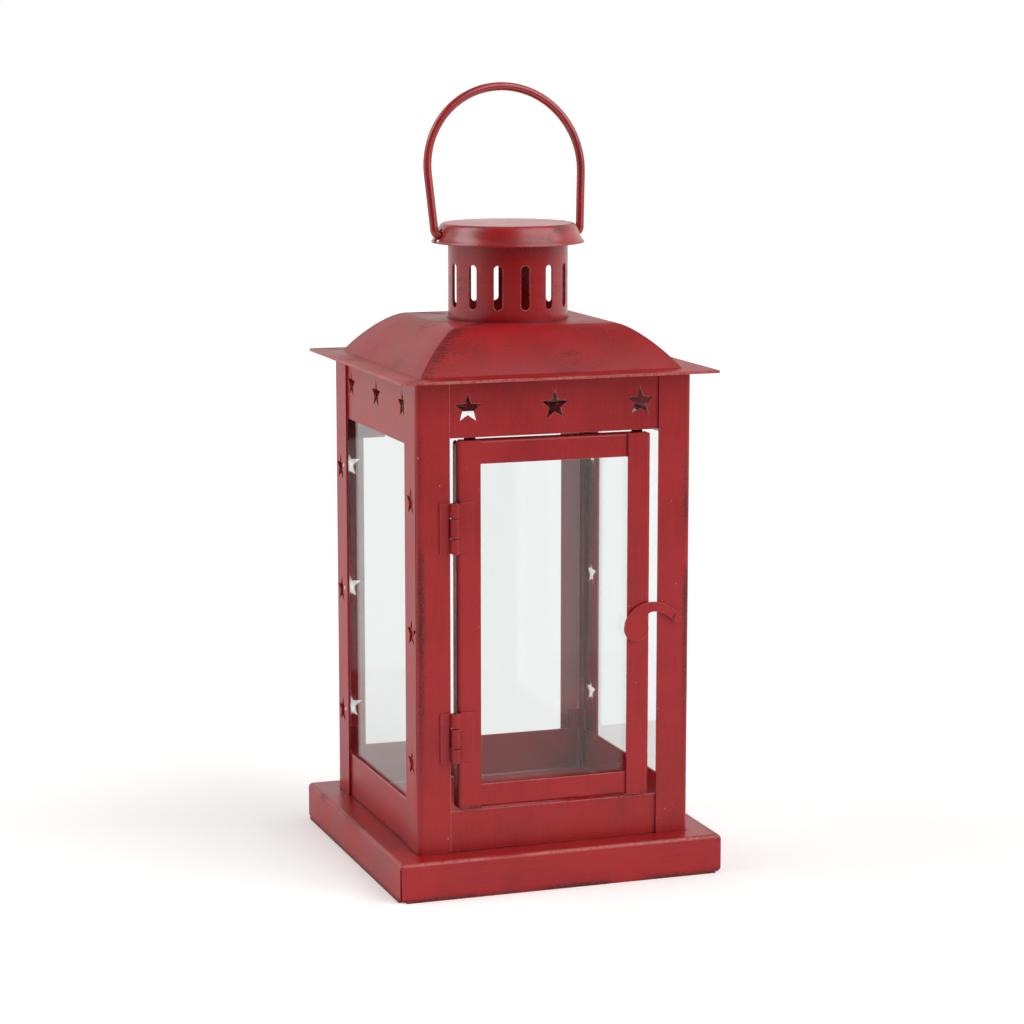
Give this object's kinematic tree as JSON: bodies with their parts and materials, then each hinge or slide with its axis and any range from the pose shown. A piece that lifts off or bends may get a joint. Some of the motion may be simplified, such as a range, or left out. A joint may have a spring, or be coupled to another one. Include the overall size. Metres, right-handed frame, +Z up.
{
  "type": "metal lantern",
  "caption": "Square red sheet-metal candle lantern with glass sides, star-pierced rails, a hinged glazed door with a latch, a slotted chimney and a wire bail.",
  "frame": {"origin": "middle of the base's footprint, on the plane that the lantern stands on", "axes": "+Z up, -Y out of the door, +X to the right of someone who faces the door"},
  "size_m": [0.12, 0.12, 0.2791],
  "materials": {
    "red_paint": "satin red paint with dark worn edges",
    "clear_glass": "clear window glass, very slightly grey-green",
    "pin_steel": "dull steel"
  },
  "bodies": {
    "lantern": {"base_tray": "red_paint", "post_front_left": "red_paint", "post_front_right": "red_paint", "post_rear_right": "red_paint", "post_rear_left": "red_paint", "top_rail_front": "red_paint", "top_rail_right": "red_paint", "top_rail_rear": "red_paint", "top_rail_left": "red_paint", "bottom_rail_front": "red_paint", "bottom_rail_right": "red_paint", "bottom_rail_rear": "red_paint", "bottom_rail_left": "red_paint", "post_backing_left": "red_paint", "post_backing_right": "red_paint", "glass_right": "clear_glass", "glass_left": "clear_glass", "glass_rear": "clear_glass", "pane_clip_front_left_lower": "red_paint", "pane_clip_rear_left_lower": "red_paint", "pane_clip_front_left_upper": "red_paint", "pane_clip_rear_left_upper": "red_paint", "pane_clip_front_right_lower": "red_paint", "pane_clip_rear_right_lower": "red_paint", "pane_clip_front_right_upper": "red_paint", "pane_clip_rear_right_upper": "red_paint", "door_stop_left": "red_paint", "door_stop_right": "red_paint", "roof": "red_paint", "chimney": "red_paint", "chimney_cap": "red_paint", "hinge_leaf_post_upper": "red_paint", "hinge_pin_upper": "pin_steel", "hinge_leaf_post_lower": "red_paint", "hinge_pin_lower": "pin_steel", "latch_rivet": "red_paint"},
    "door": {"door_stile_left": "red_paint", "door_stile_right": "red_paint", "door_rail_top": "red_paint", "door_rail_bottom": "red_paint", "door_glass": "clear_glass", "door_clip_left_lower": "red_paint", "door_clip_left_upper": "red_paint", "door_clip_right_lower": "red_paint", "door_clip_right_upper": "red_paint", "hinge_leaf_door_upper": "red_paint", "hinge_leaf_door_lower": "red_paint"},
    "latch": {"latch_hook": "red_paint"},
    "bail": {"bail_handle": "red_paint"}
  },
  "joints": [
    {"name": "door_swing", "type": "hinge", "parent": "lantern", "child": "door", "pos_m": [-0.03715, -0.052, 0.092], "axis": [0, 0, -1], "range_deg": [0, 180]},
    {"name": "latch_turn", "type": "hinge", "parent": "lantern", "child": "latch", "pos_m": [0.0452, -0.0513, 0.0924], "axis": [0, -1, 0], "range_deg": [-100, 77]},
    {"name": "bail_swing", "type": "hinge", "parent": "lantern", "child": "bail", "pos_m": [0, 0, 0.2252], "axis": [1, 0, 0], "range_deg": [-82, 98]}
  ]
}
